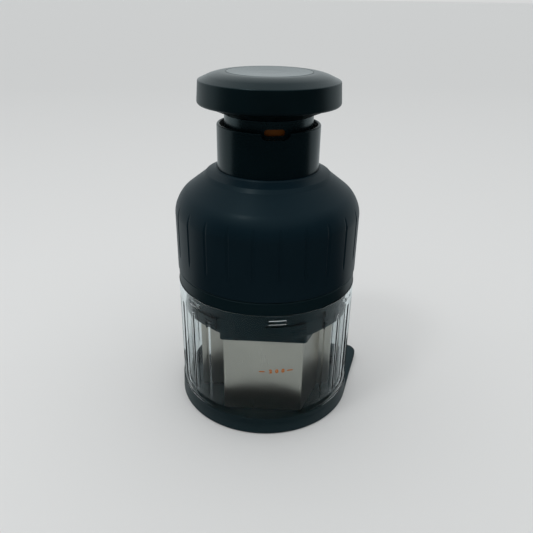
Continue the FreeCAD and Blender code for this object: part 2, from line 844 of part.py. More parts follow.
def cam_nut():
    """Flanged bush in the plate, bored for the shaft and drilled for the two cam pins."""
    body = new_body("cam_nut")
    spin(body, [
        ("shaft_bore", "plate_foot"),
        ("cam_nut_radius + cam_nut_flange", "plate_foot"),
        ("cam_nut_radius + cam_nut_flange", "plate_foot + cam_nut_flange_height"),
        ("cam_nut_radius", "plate_foot + cam_nut_flange_height"),
        ("cam_nut_radius", "plate_top + tower_height"),
        ("shaft_bore", "plate_top + tower_height"),
    ])
    sketch = new_sketch(body, "XZ_Plane")
    draw_circle(sketch, "0", "pin_level", "pin_radius")
    bores = body.newObject("PartDesign::Pocket", "PinBores")
    bores.Profile = sketch
    bores.Midplane = True
    bind(bores, Length="2 * (cam_nut_radius + over_cut)")
    doc.recompute()


def cam_pins():
    """Two pins across the nut's bore, one in each helical groove of the shaft."""
    pins = []
    tip = "(shaft_radius - cam_depth + pin_tip_gap)"
    for y, angle in ((f"-{tip}", "90"), (tip, "-90")):
        length = f"sqrt(cam_nut_radius^2 - pin_radius^2) - {tip}"
        pin = cylinder("pin_radius", length, y=y, z="pin_level")
        turned(pin, X_AXIS, angle)
        pins.append(pin)
    grouped("cam_pins", pins)


def stop_bumper():
    ring("stop_bumper", "bumper_bore", "bumper_bore + bumper_width",
         "plate_top - bumper_inset", "bumper_top")


# ---- Plunger ---------------------------------------------------------------------------

def pill(sketch, width, height, x, y):
    """A rectangle with half-round ends, drawn as a closed outline."""
    radius = f"({height}) / 2"
    half = f"(({width}) / 2 - {radius})"
    left = FreeCAD.Vector(worth(f"{x} - {half}"), worth(y), 0)
    right = FreeCAD.Vector(worth(f"{x} + {half}"), worth(y), 0)
    reach = FreeCAD.Vector(0, worth(radius), 0)
    quarter = math.pi / 2
    start = sketch.GeometryCount
    sketch.addGeometry(Part.LineSegment(left - reach, right - reach))
    sketch.addGeometry(Part.ArcOfCircle(Part.Circle(right, Z_AXIS, worth(radius)), -quarter, quarter))
    sketch.addGeometry(Part.LineSegment(right + reach, left + reach))
    sketch.addGeometry(Part.ArcOfCircle(Part.Circle(left, Z_AXIS, worth(radius)), quarter, 3 * quarter))
    for step in range(4):
        following = start + (step + 1) % 4
        sketch.addConstraint(Sketcher.Constraint("Tangent", start + step, 2, following, 1))
    fix_point(sketch, start + 1, 3, f"{x} + {half}", y)
    fix_point(sketch, start + 3, 3, f"{x} - {half}", y)
    rule = sketch.addConstraint(Sketcher.Constraint("Radius", start + 1, worth(radius)))
    sketch.setExpression(f"Constraints[{rule}]", bound(radius))


def front_pill(body, kind, width, height, level, inner, outer):
    """Pad or pocket a pill shape on the front, between two distances off the axis."""
    sketch = new_sketch(body, "XZ_Plane")
    sketch.setExpression("AttachmentOffset.Base.z", bound(inner))
    pill(sketch, width, height, "0", level)
    feature = body.newObject("PartDesign::" + kind, kind)
    feature.Profile = sketch
    feature.Reversed = kind == "Pocket"
    bind(feature, Length=f"({outer}) - ({inner})")
    doc.recompute()
    return feature


def plunger_stem():
    """Sliding sleeve with a stop flange at its foot, a lock window in front and a keyway behind."""
    body = new_body("plunger_stem")
    spin(body, [
        ("stem_bore", "stem_foot"),
        ("collar_bore - stem_clearance", "stem_foot"),
        ("collar_bore - stem_clearance", "stem_foot_top"),
        ("stem_radius", "stem_foot_top"),
        ("stem_radius", "stem_top"),
        ("stem_bore", "stem_top"),
    ])
    front_pill(body, "Pocket", "window_width", "window_height", "window_level",
               "stem_bore - stem_wall", "stem_radius + over_cut")
    extrude(
        body, "Pocket", "stem_foot_top", "stem_top - stem_foot_top",
        front_block("key_width + 2 * key_clearance", "stem_radius + over_cut",
                    "stem_radius - key_depth"),
        turn="180",
    )


def return_spring():
    """Coil spring between the plate and the washer under the sleeve's top."""
    length = "spring_top - plate_top - 2 * wire_radius"
    helix = doc.addObject("Part::Helix", "Coil")
    bind(helix, Radius="coil_radius", Height=length, Pitch=f"({length}) / coil_turns")
    place(helix, z="plate_top + wire_radius")
    wire = doc.addObject("Part::Circle", "WireSection")
    bind(wire, Radius="wire_radius")
    place(wire, x="coil_radius", z="plate_top + wire_radius")
    turned(wire, X_AXIS, "90")
    spring = doc.addObject("Part::Sweep", "Spring")
    spring.Sections = [wire]
    spring.Spine = (helix, ["Edge1"])
    spring.Solid = True
    spring.Frenet = True
    finished(spring, "return_spring")


def spring_washer():
    middle = "coil_radius"
    ring("spring_washer", f"{middle} - spring_washer_width / 2",
         f"{middle} + spring_washer_width / 2", "spring_top", "web_foot")


# ---- Lock sleeve and knob --------------------------------------------------------------

def knob_screw_holes(body, foot, depth, radius):
    """Holes through the knob's pieces on the screws' circle."""
    def hole(sketch):
        draw_circle(sketch, "0", "-knob_screw_circle", radius)

    drilled = extrude(body, "Pocket", foot, depth, hole)
    repeated(body, drilled, "knob_screw_count")


def lock_sleeve():
    """Tube inside the stem, closed by a web at the top, with tabs that reach under the hooks."""
    body = new_body("lock_sleeve")
    groove = "sleeve_radius - clip_bite"
    spin(body, [
        ("sleeve_bore", "sleeve_foot"),
        ("sleeve_radius", "sleeve_foot"),
        ("sleeve_radius", "clip_foot"),
        (groove, "clip_foot"),
        (groove, "clip_foot + clip_thickness"),
        ("sleeve_radius", "clip_foot + clip_thickness"),
        ("sleeve_radius", "hub_seat"),
        ("journal_radius + shaft_clearance", "hub_seat"),
        ("journal_radius + shaft_clearance", "web_foot"),
        ("sleeve_bore", "web_foot"),
    ])
    tab = extrude(
        body, "Pad", "sleeve_foot", "tab_height",
        front_block("tab_width", "sleeve_bore + sleeve_wall / 2",
                    "ring_radius + hook_reach + hook_clearance"),
    )
    repeated(body, tab, "hook_count")
    front_pill(body, "Pocket", "flag_width", "flag_height", "window_level",
               "sleeve_radius - flag_depth", "sleeve_radius + over_cut")
    knob_screw_holes(body, "hub_seat - knob_screw_bite", "knob_screw_bite",
                     "knob_screw_radius + screw_play")


def lock_flag():
    """Orange patch let into the sleeve, flush with its outside."""
    body = new_body("lock_flag")
    front_pill(body, "Pad", "flag_width", "flag_height", "window_level",
               "sleeve_radius - flag_depth", "sleeve_radius + over_cut")
    spin(body, [
        ("sleeve_radius", "window_level - flag_height"),
        ("sleeve_radius + 2 * over_cut", "window_level - flag_height"),
        ("sleeve_radius + 2 * over_cut", "window_level + flag_height"),
        ("sleeve_radius", "window_level + flag_height"),
    ], "Groove")


def sleeve_clip():
    """Open ring in the sleeve's groove, under the foot of the stem."""
    inner = "sleeve_radius - clip_bite"
    body = ring("sleeve_clip", inner, f"{inner} + clip_reach", "clip_foot", "clip_foot + clip_thickness")
    extrude(body, "Pocket", "clip_foot", "clip_thickness",
            front_block("clip_reach", "sleeve_radius + clip_reach", f"{inner} - clip_reach"), turn="180")


def knob_base():
    """Underside of the knob: hub on the sleeve, cone over the stem and spigot in the cover."""
    body = new_body("knob_base")
    spigot = "knob_inner_radius - knob_joint_clearance"
    spin(body, [
        ("hub_bore_radius", "hub_seat"),
        ("stem_radius", "hub_seat"),
        (spigot, "knob_rim_foot"),
        (spigot, "knob_rim_foot + knob_base_thickness + knob_spigot"),
        (f"{spigot} - knob_wall", "knob_rim_foot + knob_base_thickness + knob_spigot"),
        (f"{spigot} - knob_wall", "knob_rim_foot + knob_base_thickness"),
        ("stem_radius", "hub_top"),
        ("hub_bore_radius", "hub_top"),
    ])
    knob_screw_holes(body, "hub_seat", "hub_top - hub_seat",
                     "knob_screw_radius + screw_play")


def knob_cover():
    """Side and top of the knob, with a post down to the hub and a recess for the cap."""
    body = new_body("knob_cover")
    rim = "knob_radius - knob_side_draft"
    slope = "atan(knob_crown_height / (knob_radius - knob_side_draft - knob_crown_radius))"
    spin(body, [
        ("knob_inner_radius", "knob_rim_foot"),
        ("knob_radius", "knob_rim_foot"),
        (rim, "knob_rim_top"),
        ("knob_crown_radius", "knob_top"),
        ("cap_radius + cap_clearance", "knob_top"),
        ("cap_radius + cap_clearance", "cap_seat"),
        ("post_radius", "cap_seat"),
        ("post_radius", "hub_top + post_flange"),
        ("hub_bore_radius", "hub_top + post_flange"),
        ("hub_bore_radius", "hub_top"),
        ("post_radius + post_wall", "hub_top"),
        ("post_radius + post_wall", "cap_seat - knob_wall"),
        ("knob_crown_radius", "knob_top - knob_wall - cap_thickness"),
        ("knob_inner_radius", f"knob_rim_top - knob_wall / cos({slope})"),
    ])
    soften(body, "knob_edge_round", [(rim, "knob_rim_top")])
    soften(body, "knob_foot_round", [("knob_radius", "knob_rim_foot")])
    knob_screw_holes(body, "hub_top", "post_flange", "knob_screw_radius + screw_play")


def knob_cap():
    """Dished disc that closes the knob, with a short skirt in the post."""
    body = new_body("knob_cap")
    skirt = "post_radius - cap_clearance"
    spin(body, [
        ("0", "cap_seat"),
        (f"{skirt} - cap_skirt_wall", "cap_seat"),
        (f"{skirt} - cap_skirt_wall", "cap_seat - cap_skirt"),
        (skirt, "cap_seat - cap_skirt"),
        (skirt, "cap_seat"),
        ("cap_radius", "cap_seat"),
        ("cap_radius", "knob_top"),
        ("cap_radius - cap_rim", "knob_top"),
        ("cap_bowl_radius", "knob_top - cap_dish"),
        ("0", "knob_top - cap_dish"),
    ])


def knob_screws():
    """Screws down through cover and base into the sleeve's web."""
    screws = []
    seat = "hub_top + post_flange"
    foot = "hub_seat - knob_screw_bite + screw_play"
    for x, y in round_the_axis("knob_screw_count", "-90", "knob_screw_circle"):
        shank = cylinder("knob_screw_radius", f"{seat} - ({foot})", x, y, foot)
        head = cylinder("knob_screw_head_radius", "knob_screw_head_height", x, y, seat)
        screws.append(fused(shank, head))
    grouped("knob_screws", screws)


# ---- Rotor -----------------------------------------------------------------------------

def drive_shaft():
    """Shaft with a journal at the top and two steep helical grooves for the cam pins."""
    body = new_body("drive_shaft")
    spin(body, [
        ("0", "shaft_foot"),
        ("shaft_radius", "shaft_foot"),
        ("shaft_radius", "shaft_shoulder"),
        ("journal_radius", "shaft_shoulder"),
        ("journal_radius", "hub_seat + journal_end_gap"),
        ("0", "hub_seat + journal_end_gap"),
    ])
    foot = "(pin_level - stroke - cam_run_out)"
    top = "(pin_level + cam_run_out)"
    section_count = 5
    sections = []
    for step in range(section_count):
        level = f"{foot} + ({top} - {foot}) * {step} / {section_count - 1}"
        angle = f"(({level}) - pin_level) * cam_turn / stroke"
        sketch = new_sketch(body, "XY_Plane", level, angle)
        draw_path(sketch, [
            ("-cam_width / 2", "-shaft_radius - over_cut"),
            ("cam_width / 2", "-shaft_radius - over_cut"),
            ("cam_width / 2", "cam_depth - shaft_radius"),
            ("-cam_width / 2", "cam_depth - shaft_radius"),
        ])
        sections.append(sketch)
    groove = body.newObject("PartDesign::SubtractiveLoft", "CamGroove")
    groove.Profile = sections[0]
    groove.Sections = sections[1:]
    doc.recompute()
    repeated(body, groove, "2")

    def thread(sketch):
        draw_circle(sketch, "0", "0", "shaft_screw_radius + screw_play")

    extrude(body, "Pocket", "hub_seat + journal_end_gap - shaft_screw_length",
            "shaft_screw_length", thread)

    def lower_thread(sketch):
        draw_circle(sketch, "0", "0", "carrier_screw_radius + screw_play")

    extrude(body, "Pocket", "shaft_foot", "carrier_screw_length", lower_thread)


def thrust_washers():
    """Plain washers on the journal, above and below the sleeve's web."""
    washers = []
    lower = ("journal_radius + shaft_clearance", "shaft_shoulder")
    upper = ("shaft_screw_radius + shaft_clearance", "hub_seat + journal_end_gap")
    for bore, foot in (lower, upper):
        disc = cylinder("washer_radius", "washer_thickness", z=foot)
        hole = cylinder(bore, "washer_thickness", z=foot)
        washers.append(cut(disc, hole))
    grouped("thrust_washers", washers)


def shaft_screw():
    """Screw down into the top of the shaft."""
    foot = "hub_seat + journal_end_gap - shaft_screw_length + screw_play"
    shank = cylinder("shaft_screw_radius", f"washer_top - ({foot})", z=foot)
    head = cylinder("shaft_screw_head_radius", "shaft_screw_head_height", z="washer_top")
    finished(fused(shank, head), "shaft_screw")


def blade_path():
    """The middle of a blade's sheet seen from above, with its front panel across -Y."""
    sketch = doc.addObject("Sketcher::SketchObject", "BladePath")
    draw_path(sketch, [
        ("-left_flange_end", "-left_flange_distance"),
        ("-left_flange_start", "-left_flange_distance"),
        ("-panel_left", "-panel_distance"),
        ("panel_right", "-panel_distance"),
        ("right_flange_start", "-right_flange_distance"),
        ("right_flange_end", "-right_flange_distance"),
    ], closed=False)
    return sketch


def strip(reach, foot, top):
    """An upright wall along the blade's path, reaching equally far to both sides of it."""
    band = doc.addObject("Part::Offset2D", "Band")
    band.Source = blade_path()
    band.Fill = True
    bind(band, Value=reach)
    wall = doc.addObject("Part::Extrusion", "Strip")
    wall.Base = band
    wall.DirMode = "Custom"
    wall.Dir = Z_AXIS
    wall.Solid = True
    bind(wall, LengthFwd=f"({top}) - ({foot})")
    place(wall, z=foot)
    return wall


def facing(thing, formula):
    """A copy of a shape turned about the upright axis."""
    copy = doc.addObject("Part::Compound", "Turned")
    copy.Links = [thing]
    turned(copy, Z_AXIS, formula)
    return copy


def rivet_rods(radius, start, end):
    """Rods through one blade and its holder, between two distances off the axis."""
    rods = []
    for x in ("-rivet_spread", "rivet_spread"):
        rod = cylinder(radius, f"({end}) - ({start})", x, f"-({start})", "rivet_level")
        turned(rod, X_AXIS, "90")
        rods.append(rod)
    return rods


def blade_carrier():
    """Disc on the shaft with a hub and two blocks that follow the blades."""
    disc = cylinder("carrier_radius", "carrier_thickness", z="carrier_foot")
    hub = cylinder("hub_radius", "carrier_top - hub_foot", z="hub_foot")
    holder = doc.addObject("Part::Common", "Holder")
    holder.Base = strip("blade_thickness / 2 + holder_wall", "holder_foot", "carrier_top")
    holder.Tool = cylinder("carrier_radius", "carrier_top - holder_foot", z="holder_foot")
    slot = strip("blade_thickness / 2 + blade_fit", "holder_foot", "blade_top + blade_fit")
    near = "panel_distance - holder_wall - over_cut"
    far = "panel_distance + holder_wall + over_cut"
    tools = [
        cylinder("shaft_radius + screw_play", "carrier_top - shaft_foot", z="shaft_foot"),
        cylinder("carrier_screw_radius + screw_play", "shaft_foot - hub_foot", z="hub_foot"),
        cylinder("carrier_screw_head_radius + screw_play", "carrier_screw_head_height", z="hub_foot"),
    ]
    for side in ("0", "180"):
        tools.append(facing(slot, side))
        tools += [facing(rod, side) for rod in rivet_rods("rivet_radius + screw_play", near, far)]
    solid = fused(disc, hub, facing(holder, "0"), facing(holder, "180"))
    carrier = cut(solid, fused(*tools))
    turned(carrier, Z_AXIS, "blade_turn")
    finished(carrier, "blade_carrier")


def blade(name, side):
    """One bent strip, its upper edge in the carrier and drilled for two rivets."""
    near = "panel_distance - blade_thickness"
    far = "panel_distance + blade_thickness"
    holes = rivet_rods("rivet_radius + screw_play", near, far)
    drilled = cut(strip("blade_thickness / 2", "blade_tip", "blade_top"), fused(*holes))
    turned(drilled, Z_AXIS, f"blade_turn + {side}")
    finished(drilled, name)


def blades():
    blade("blade_front", "0")
    blade("blade_rear", "180")


def blade_rivets():
    """Round rivets with a low head on each side of the holder."""
    inner = "panel_distance - blade_thickness / 2 - holder_wall"
    outer = "panel_distance + blade_thickness / 2 + holder_wall"
    rivets = []
    for side in ("0", "180"):
        shanks = rivet_rods("rivet_radius", inner, outer)
        inner_heads = rivet_rods("rivet_head_radius", f"{inner} - rivet_head_height", inner)
        outer_heads = rivet_rods("rivet_head_radius", outer, f"{outer} + rivet_head_height")
        for pieces in zip(shanks, inner_heads, outer_heads):
            rivets.append(facing(fused(*pieces), f"blade_turn + {side}"))
    grouped("blade_rivets", rivets)


def carrier_screw():
    """Screw up through the carrier's hub into the shaft."""
    length = "hub_floor + carrier_screw_length - screw_play"
    head = cylinder("carrier_screw_head_radius", "carrier_screw_head_height", z="hub_foot")
    shank = cylinder("carrier_screw_radius", length, z="hub_foot + carrier_screw_head_height")
    finished(fused(head, shank), "carrier_screw")


for build in (
    base_pad, base_tray, cup, cup_seal,
    housing_shell, housing_gasket, housing_grip, neck_collar, collar_nut, guide_bush,
    guide_plate, plate_screws, cam_nut, cam_pins, stop_bumper,
    plunger_stem, return_spring,
    lock_sleeve, lock_flag, sleeve_clip, spring_washer, knob_base, knob_cover, knob_cap, knob_screws,
    drive_shaft, thrust_washers, shaft_screw,
    blade_carrier, blades, blade_rivets, carrier_screw,
):
    build()
doc.recompute()

for item in doc.Objects:
    if "Invalid" in item.State or "Error" in item.State:
        raise RuntimeError(f"{item.Label} failed: {item.State}")
os.makedirs("parts", exist_ok=True)
for node in nodes:
    if node.Shape.isNull() or not node.Shape.isValid():
        raise RuntimeError(f"{node.Label} has no sound shape")
    print(node.Label, len(node.Shape.Solids), round(node.Shape.Volume, 2))
    node.Shape.exportStep(f"parts/{node.Label}.step")
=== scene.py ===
import json
import math

import bmesh
import bpy
from bpy.props import FloatProperty, FloatVectorProperty, PointerProperty
from mathutils import Matrix, Vector


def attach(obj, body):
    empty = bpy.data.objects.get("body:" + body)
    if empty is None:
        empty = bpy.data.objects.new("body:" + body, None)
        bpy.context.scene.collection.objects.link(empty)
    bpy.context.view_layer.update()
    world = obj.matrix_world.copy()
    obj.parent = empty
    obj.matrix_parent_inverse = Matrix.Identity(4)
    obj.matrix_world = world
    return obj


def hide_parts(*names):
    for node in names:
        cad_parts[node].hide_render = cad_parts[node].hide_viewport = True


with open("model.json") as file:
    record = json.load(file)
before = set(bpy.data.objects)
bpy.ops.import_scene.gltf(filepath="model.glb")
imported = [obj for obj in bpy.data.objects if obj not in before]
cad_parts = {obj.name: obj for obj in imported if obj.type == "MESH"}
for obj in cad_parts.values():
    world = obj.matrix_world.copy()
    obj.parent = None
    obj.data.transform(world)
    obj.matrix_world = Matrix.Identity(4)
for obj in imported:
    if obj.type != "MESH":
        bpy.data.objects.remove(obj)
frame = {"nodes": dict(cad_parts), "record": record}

bl_info = {
    "name": "Plunger food chopper",
    "version": (1, 0, 0),
    "blender": (4, 5, 0),
    "location": "3D View > Sidebar > Chopper",
    "description": "Builds the looks of a hand-pumped food chopper around its fixed frame",
    "category": "Object",
}

MM = 0.001

# Radius in millimetres that the cup's wall and the housing's barrel share
BARREL = 45.0
LUG_COUNT = 6

# Radius in millimetres that a turned outline has on the axis until its points are merged
SPECK = 0.001

# Steps of a rounding for each millimetre of its arc, and the fewest and most that it gets
ARC_STEPS, FEWEST_STEPS, MOST_STEPS = 1.4, 3, 14

# Noise cells for each metre: the spark-eroded grain of the plastics, and their uneven gloss
FINE_GRAIN = 2600.0
CLOUDS = 55.0

# Plastic and rubber mirror their surroundings a little cooler than they are
COOL_GLOSS = (0.66, 0.94, 1.0, 1.0)


# ---- Sizes and colours that a user would change --------------------------------------------

class ChopperSizes(bpy.types.PropertyGroup):
    """Sizes of the detail that is modelled here, and the camera's place."""
    groove_width: FloatProperty(
        name="Grip groove width", description="Width of one upright groove in the grip",
        default=1.9 * MM, unit="LENGTH")
    groove_depth: FloatProperty(
        name="Grip groove depth", description="Depth of one upright groove in the grip",
        default=0.36 * MM, unit="LENGTH")
    panel_depth: FloatProperty(
        name="Cup panel depth", description="Depth of the sunk panels between the cup's ribs",
        default=0.24 * MM, unit="LENGTH")
    camera_height: FloatProperty(
        name="Camera height", description="Height of the camera above the table",
        default=197.2 * MM, unit="LENGTH")
    camera_distance: FloatProperty(
        name="Camera distance", description="Distance on the table from the camera to the axis",
        default=255.4 * MM, unit="LENGTH")


class ChopperColours(bpy.types.PropertyGroup):
    """Colours of the materials."""
    grip: FloatVectorProperty(
        name="Grip", description="Soft skin of the housing", subtype="COLOR",
        default=(0.0031, 0.01, 0.0152), min=0, max=1)
    plastic: FloatVectorProperty(
        name="Plastic", description="Hard black plastic of housing, tray and knob", subtype="COLOR",
        default=(0.0018, 0.0085, 0.0115), min=0, max=1)
    # The flag's colour is the mark's orange made much darker: painted shade from the stem's window
    # and the knob above it
    flag: FloatVectorProperty(
        name="Flag", description="Lock flag behind the stem's window", subtype="COLOR",
        default=(0.13, 0.038, 0.001), min=0, max=1)
    mark: FloatVectorProperty(
        name="Mark", description="Fill mark printed on the cup", subtype="COLOR",
        default=(0.4, 0.11, 0.001), min=0, max=1)
    steel: FloatVectorProperty(
        name="Steel", description="Blades, shaft and screws", subtype="COLOR",
        default=(0.5, 0.47, 0.42), min=0, max=1)
    table: FloatVectorProperty(
        name="Table", description="Table and backdrop", subtype="COLOR",
        default=(0.742, 0.75, 0.75), min=0, max=1)


# ---- Shader maths ----------------------------------------------------------------------------

class Wire:
    """A node's output that adds Math nodes where it stands in an expression."""

    def __init__(self, nodes, socket):
        self.nodes = nodes
        self.socket = socket

    def maths(self, operation, *values):
        return self.nodes.node("ShaderNodeMath", {"operation": operation}, dict(enumerate(values)))

    def larger(self, other):
        return self.maths("MAXIMUM", self, other)

    def __abs__(self):
        return self.maths("ABSOLUTE", self)

    def __add__(self, other):
        return self.maths("ADD", self, other)

    def __sub__(self, other):
        return self.maths("SUBTRACT", self, other)

    def __mul__(self, other):
        return self.maths("MULTIPLY", self, other)


class Nodes:
    """The nodes of a material or of the world."""

    def __init__(self, tree):
        self.tree = tree

    def node(self, kind, settings=None, inputs=None, output=0):
        """One node: its settings first, then the values or wires of its inputs."""
        made = self.tree.nodes.new(kind)
        for name, value in (settings or {}).items():
            setattr(made, name, value)
        for name, value in (inputs or {}).items():
            self.feed(made.inputs[name], value)
        return Wire(self, made.outputs[output])

    def feed(self, socket, value):
        if isinstance(value, Wire):
            self.tree.links.new(value.socket, socket)
        else:
            socket.default_value = value

    def blend(self, factor, first, second):
        """One colour turning into another as the factor goes from 0 to 1."""
        first, second = (
            colour if isinstance(colour, Wire) else (*colour, 1.0) for colour in (first, second))
        return self.node(
            "ShaderNodeMix", {"data_type": "RGBA"}, {0: factor, 6: first, 7: second}, output=2)

    def ray(self, kind):
        """1 for a ray of one kind, such as Camera or Glossy, and 0 for any other."""
        return self.node("ShaderNodeLightPath", output=f"Is {kind} Ray")


class Finish(Nodes):
    """A material, with the nodes that give it its grain and wear."""

    def __init__(self, name):
        self.material = bpy.data.materials.new(name)
        self.material.use_nodes = True
        super().__init__(self.material.node_tree)

    def surface(self, **values):
        """The material, with values or wires for the shader's sockets, named with underscores."""
        sockets = self.tree.nodes["Principled BSDF"].inputs
        for name, value in values.items():
            self.feed(sockets[name.replace("_", " ")], value)
        return self.material

    def place(self):
        return self.node("ShaderNodeTexCoord", output="Object")

    def stretched(self, *scale):
        """The object's coordinates scaled along each axis, for grain that runs one way."""
        return self.node("ShaderNodeMapping", {}, {"Vector": self.place(), "Scale": scale})

    def noise(self, scale, detail=3.0, vector=None):
        """Noise from 0 to 1, with a scale in cells for each metre."""
        return self.node(
            "ShaderNodeTexNoise", {},
            {"Vector": vector or self.place(), "Scale": scale, "Detail": detail})

    def along(self, axis):
        """One of the object's coordinates: 0, 1 or 2 for X, Y or Z."""
        return self.node("ShaderNodeSeparateXYZ", {}, {"Vector": self.place()}, output=axis)

    def ramp(self, value, low, high):
        """From 0 at the low value to 1 at the high one."""
        return self.node(
            "ShaderNodeMapRange", {}, {"Value": value, "From Min": low, "From Max": high})

    def bump(self, height, distance):
        return self.node("ShaderNodeBump", {}, {"Height": height, "Distance": distance})


def moulded(name, colour, roughness, gloss, depth=0.012 * MM, coat=0.0):
    """Moulded plastic or rubber: a fine spark-eroded grain and slightly uneven gloss."""
    uneven = 0.06
    finish = Finish(name)
    fine = finish.noise(FINE_GRAIN, 2.0)
    cloudy = finish.noise(CLOUDS, 4.0)
    lighter = tuple(min(1.0, part * 1.25 + 0.0003) for part in colour)
    return finish.surface(
        Base_Color=finish.blend(cloudy, colour, lighter),
        Roughness=cloudy * uneven + fine * uneven + (roughness - uneven),
        Specular_IOR_Level=gloss,
        Specular_Tint=COOL_GLOSS,
        Coat_Weight=coat,
        Coat_Roughness=0.22,
        Normal=finish.bump(fine, depth),
    )


def knob_plastic(colour):
    """The knob's plastic: polished above its rim and fine-grained on the upright side."""
    finish = Finish("knob_plastic")
    fine = finish.noise(FINE_GRAIN, 2.0)
    cloudy = finish.noise(CLOUDS, 4.0)
    rim_low, rim_high = 164.0 * MM, 164.4 * MM
    polished = finish.ramp(finish.along(2), rim_low, rim_high)
    return finish.surface(
        Base_Color=finish.blend(cloudy, tuple(part * 0.35 for part in colour), colour),
        Roughness=cloudy * 0.05 + fine * 0.05 + 0.32 - polished * 0.16,
        Specular_IOR_Level=0.3,
        Specular_Tint=COOL_GLOSS,
        Normal=finish.bump(fine, 0.008 * MM),
    )


def clear_plastic():
    """Clear plastic with a trace of haze, whose faces mirror little."""
    finish = Finish("clear_plastic")
    return finish.surface(
        Base_Color=(0.93, 0.945, 0.945, 1.0),
        Roughness=finish.noise(60.0) * 0.02 + 0.012,
        Transmission_Weight=1.0,
        IOR=1.45,
        Specular_Tint=(0.07, 0.075, 0.08, 1.0),
    )


def steel(name, colour, roughness, grain):
    """Stainless steel with a fine grain, given in cells for each metre along each axis."""
    finish = Finish(name)
    lines = finish.noise(1.0, vector=finish.stretched(*grain))
    smears = finish.noise(70.0)
    return finish.surface(
        Base_Color=finish.blend(smears, colour, tuple(part * 0.86 for part in colour)),
        Roughness=lines * 0.14 + smears * 0.05 + (roughness - 0.09),
        Metallic=1.0,
        Normal=finish.bump(lines, 0.006 * MM),
    )


def make_materials(colours):
    """Every finish: one for each slot of the record, the rivets' near-black one (painted dark
    reflection), and the print's.
    """
    plastic = tuple(colours.plastic)
    deep = tuple(part * 0.6 for part in plastic)
    soot = (0.004, 0.006, 0.007)
    metal = tuple(colours.steel)
    moulded("pad_rubber", (0.02, 0.02, 0.02), roughness=0.8, gloss=0.2)
    moulded("tray_plastic", plastic, roughness=0.4, gloss=0.25)
    clear_plastic()
    moulded("seal_rubber", soot, roughness=0.6, gloss=0.15)
    moulded("shell_plastic", plastic, roughness=0.42, gloss=0.22, depth=0.0015 * MM)
    moulded("grip_rubber", tuple(colours.grip), roughness=0.4, gloss=0.13, coat=0.02)
    moulded("collar_plastic", deep, roughness=0.24, gloss=0.25, depth=0.004 * MM)
    moulded("bearing_plastic", (0.012, 0.013, 0.014), roughness=0.45, gloss=0.3)
    moulded("inner_plastic", (0.006, 0.01, 0.012), roughness=0.45, gloss=0.2)
    moulded("stem_plastic", plastic, roughness=0.27, gloss=0.5, depth=0.006 * MM)
    # Flag colour carries painted shade: it is the mark's orange darkened for the shadow it sits in
    moulded("flag_plastic", tuple(colours.flag), roughness=0.4, gloss=0.1)
    knob_plastic(plastic)
    moulded("cap_plastic", plastic, roughness=0.15, gloss=0.6, depth=0.004 * MM)
    moulded("carrier_plastic", plastic, roughness=0.42, gloss=0.25, depth=0.0015 * MM)
    steel("screw_steel", metal, roughness=0.32, grain=(900, 900, 900))
    steel("spring_steel", metal, roughness=0.28, grain=(900, 900, 200))
    steel("shaft_steel", metal, roughness=0.25, grain=(300, 300, 2600))
    steel("blade_steel", metal, roughness=0.3, grain=(2600, 2600, 90))
    # Near-black non-metal for the steel rivets: painted dark reflection, not a finish that they
    # have
    moulded("black_steel", soot, roughness=0.45, gloss=0.3)
    moulded("mark_print", tuple(colours.mark), roughness=0.5, gloss=0.2)


# ---- Making pieces -------------------------------------------------------------------------

def deselect_all():
    if bpy.context.object and bpy.context.object.mode != "OBJECT":
        bpy.ops.object.mode_set(mode="OBJECT")
    bpy.ops.object.select_all(action="DESELECT")


def pick(*pieces):
    """Select these pieces and nothing else, with the first one active."""
    deselect_all()
    for piece in pieces:
        piece.select_set(True)
    bpy.context.view_layer.objects.active = pieces[0]


def edit(piece):
    """Open a piece in edit mode, with all of it selected."""
    pick(piece)
    bpy.ops.object.mode_set(mode="EDIT")
    bpy.ops.mesh.select_all(action="SELECT")


def select_edges(piece, wanted):
    """Select the edges in edit mode whose two ends, in millimetres, pass the test together."""
    bpy.ops.mesh.select_mode(type="EDGE")
    bpy.ops.mesh.select_all(action="DESELECT")
    mesh = bmesh.from_edit_mesh(piece.data)
    for edge in mesh.edges:
        edge.select_set(wanted(*(corner.co / MM for corner in edge.verts)))
    bmesh.update_edit_mesh(piece.data)


def turned(name, outline, segments=192):
    """A shape turned about the axis from an outline of (radius, height, rounding) in millimetres.

    A circle is drawn out from corner to corner, and each corner is then rounded. An outline that
    starts on the axis also ends on it; any other is closed back to its start.
    """
    points = [(max(radius, SPECK), level, size) for radius, level, size in outline]
    closing = [] if outline[0][0] == 0 else points[:1]
    radius, level, _ = points[0]
    deselect_all()
    bpy.ops.mesh.primitive_circle_add(
        vertices=segments, radius=radius * MM, location=(0, 0, level * MM))
    piece = bpy.context.object
    piece.name = name
    bpy.ops.object.transform_apply(location=True, rotation=True, scale=True)
    edit(piece)
    for new_radius, new_level, _ in points[1:] + closing:
        rise = (0, 0, (new_level - level) * MM)
        bpy.ops.mesh.extrude_region_move(TRANSFORM_OT_translate={"value": rise})
        share = new_radius / radius
        bpy.ops.transform.resize(value=(share, share, 1), center_override=(0, 0, new_level * MM))
        radius, level = new_radius, new_level
    bpy.ops.mesh.select_all(action="SELECT")
    bpy.ops.mesh.remove_doubles(threshold=2.5 * SPECK * MM)
    bpy.ops.mesh.normals_make_consistent(inside=False)
    for before, here, after in zip(points[-1:] + points, points, points[1:] + points[:1]):
        round_ring(piece, before, here, after)
    bpy.ops.object.mode_set(mode="OBJECT")
    return piece


